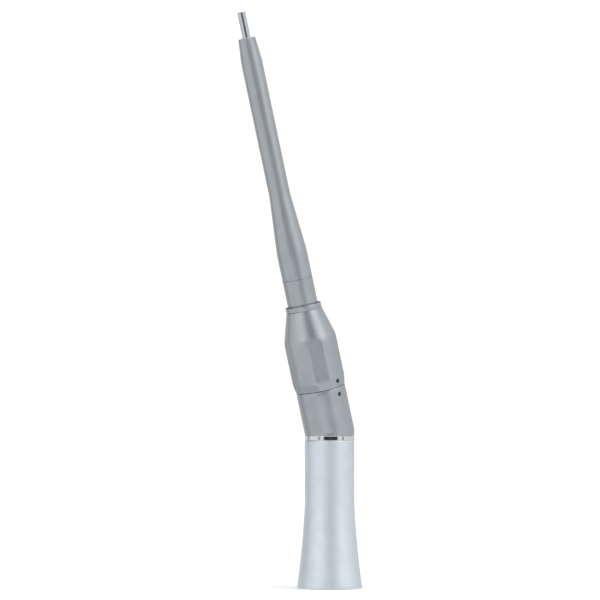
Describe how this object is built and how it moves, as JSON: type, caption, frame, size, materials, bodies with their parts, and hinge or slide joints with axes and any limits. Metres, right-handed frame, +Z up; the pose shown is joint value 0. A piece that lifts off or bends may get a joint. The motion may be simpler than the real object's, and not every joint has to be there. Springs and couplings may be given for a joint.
{
  "type": "angled straight dental handpiece",
  "caption": "Slim angled dental handpiece with a flared rear sleeve, a twist-ring chuck, a long stepped nose tube and a plain round shank held in its collet.",
  "frame": {"origin": "centre of the rear rim, in the plane where the motor's shoulder meets it", "axes": "+Z up the rear sleeve's axis towards the bend; the nose leans 15 degrees from +Z towards -X; Y is across the plane of the bend"},
  "size_m": [0.0437, 0.0194, 0.1694],
  "materials": {
    "satin_steel": "fine bead-blasted satin, mid grey",
    "satin_sleeve": "bead-blasted satin, pale bluish white",
    "polished_steel": "mirror polished",
    "shaft_steel": "turned and ground",
    "ball_steel": "polished balls in a steel cage",
    "spring_steel": "drawn wire",
    "bush_brass": "turned",
    "mark_paint": "dark filled dot",
    "seal_rubber": "moulded O-ring"
  },
  "bodies": {
    "housing": {"rear_sleeve": "satin_sleeve", "coupling_tube": "shaft_steel", "retaining_clip": "spring_steel", "trim_ring": "polished_steel", "angled_body": "satin_steel", "body_mark": "mark_paint", "rear_outer_spacer": "shaft_steel", "rear_bearing_outer_race": "shaft_steel", "middle_bearing_outer_race": "shaft_steel", "front_spacer": "shaft_steel", "spindle_bearing_outer_race": "shaft_steel", "nose_bearing_outer_race": "shaft_steel", "tip_bearing_outer_race": "shaft_steel", "guide_tube": "shaft_steel", "detent_ball": "ball_steel", "detent_spring": "spring_steel", "collar_ring": "satin_steel", "nose_base": "satin_steel", "seal_ring": "seal_rubber", "nose_tube": "satin_steel"},
    "rear_drive": {"rear_shaft": "shaft_steel", "dog_pin": "shaft_steel", "dog_spring": "spring_steel", "rear_inner_spacer": "shaft_steel", "rear_gear": "shaft_steel", "rear_bearing_inner_race": "shaft_steel", "middle_bearing_inner_race": "shaft_steel", "rear_bearing_balls": "ball_steel", "middle_bearing_balls": "ball_steel"},
    "drive_dog": {"drive_dog": "shaft_steel"},
    "spindle": {"spindle": "shaft_steel", "spring_stop": "shaft_steel", "spindle_gear": "shaft_steel", "spindle_bearing_inner_race": "shaft_steel", "nose_bearing_inner_race": "shaft_steel", "tip_bearing_inner_race": "shaft_steel", "spindle_bearing_balls": "ball_steel", "nose_bearing_balls": "ball_steel", "tip_bearing_balls": "ball_steel", "chuck_spring": "spring_steel"},
    "chuck": {"drawbar": "shaft_steel", "draw_key": "shaft_steel", "spring_seat": "shaft_steel", "collet": "shaft_steel"},
    "bur": {"shank": "polished_steel"},
    "release": {"release_sleeve": "bush_brass", "release_pin_a": "shaft_steel", "release_pin_b": "shaft_steel"},
    "chuck_ring": {"twist_ring": "satin_steel", "ring_mark": "mark_paint", "cam_sleeve": "shaft_steel"}
  },
  "joints": [
    {"name": "drive_spin", "type": "hinge", "parent": "housing", "child": "rear_drive", "pos_m": [0, 0, 0.035], "axis": [0, 0, 1], "continuous": true},
    {"name": "spindle_spin", "type": "hinge", "parent": "housing", "child": "spindle", "pos_m": [0, 0, 0.0465], "axis": [-0.2588, 0, 0.9659], "continuous": true},
    {"name": "dog_slide", "type": "slide", "parent": "rear_drive", "child": "drive_dog", "axis": [0, 0, 1], "range_m": [0, 0.0015], "stiffness_N_per_m": 300, "springref_m": -0.001, "deforming": ["dog_spring"]},
    {"name": "ring_turn", "type": "hinge", "parent": "housing", "child": "chuck_ring", "pos_m": [0, 0, 0.0465], "axis": [-0.2588, 0, 0.9659], "range_deg": [0, 60]},
    {"name": "release_slide", "type": "slide", "parent": "housing", "child": "release", "axis": [-0.2588, 0, 0.9659], "range_m": [0, 0.0012]},
    {"name": "collet_slide", "type": "slide", "parent": "spindle", "child": "chuck", "axis": [-0.2588, 0, 0.9659], "range_m": [0, 0.0012], "deforming": ["chuck_spring"]},
    {"name": "shank_slide", "type": "slide", "parent": "spindle", "child": "bur", "axis": [-0.2588, 0, 0.9659], "range_m": [0, 0.036]}
  ],
  "couplings": [
    {"joint": "spindle_spin", "follows": "drive_spin", "ratio": 1},
    {"joint": "release_slide", "follows": "ring_turn", "m_per_rad": 0.001145},
    {"joint": "collet_slide", "follows": "ring_turn", "m_per_rad": 0.001145}
  ]
}
